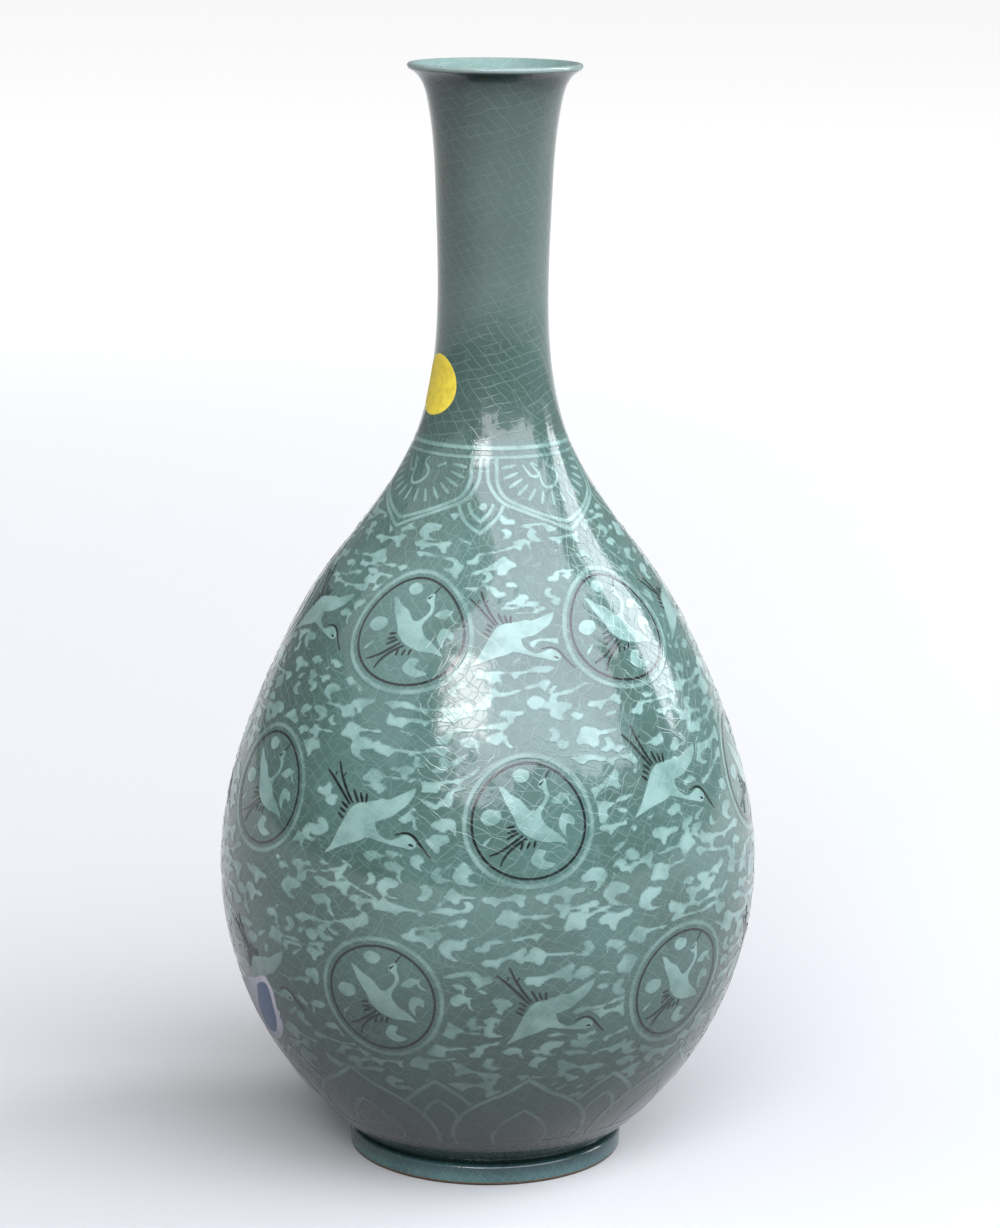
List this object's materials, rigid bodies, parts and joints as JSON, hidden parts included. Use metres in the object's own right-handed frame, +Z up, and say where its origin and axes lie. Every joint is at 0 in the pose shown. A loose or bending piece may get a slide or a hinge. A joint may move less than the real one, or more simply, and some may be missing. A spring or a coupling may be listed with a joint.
{
  "type": "bottle vase",
  "caption": "Pear-shaped glazed stoneware bottle vase with a slender neck, a flared mouth, a turned foot ring and slip-inlaid line and roundel ornament.",
  "frame": {"origin": "centre of the contact face of the foot ring, on the vase's axis", "axes": "+Z up along the vase's axis of revolution; -Y faces the viewer of the picture and +X is to that viewer's right"},
  "size_m": [0.1696, 0.1696, 0.3459],
  "materials": {
    "celadon_body": "glossy crackled celadon glaze over inlaid stoneware",
    "celadon_neck": "glossy crackled celadon glaze",
    "foot_glaze": "pooled bluish celadon glaze, brown unglazed contact edge",
    "white_slip": "white slip inlay under celadon glaze",
    "black_slip": "black slip inlay under celadon glaze"
  },
  "bodies": {
    "root": {"foot_ring": "foot_glaze", "lower_body": "celadon_body", "upper_body": "celadon_body", "neck": "celadon_neck", "foot_line": "black_slip", "petal_base_line": "white_slip", "collar_line_lower": "white_slip", "collar_line_upper": "white_slip", "roundel_ring_lower_1": "black_slip", "roundel_ring_lower_2": "black_slip", "roundel_ring_lower_3": "black_slip", "roundel_ring_lower_4": "black_slip", "roundel_ring_lower_5": "black_slip", "roundel_ring_middle_1": "black_slip", "roundel_ring_middle_2": "black_slip", "roundel_ring_middle_3": "black_slip", "roundel_ring_middle_4": "black_slip", "roundel_ring_middle_5": "black_slip", "roundel_ring_upper_1": "black_slip", "roundel_ring_upper_2": "black_slip", "roundel_ring_upper_3": "black_slip", "roundel_ring_upper_4": "black_slip", "roundel_ring_upper_5": "black_slip"}
  },
  "joints": []
}
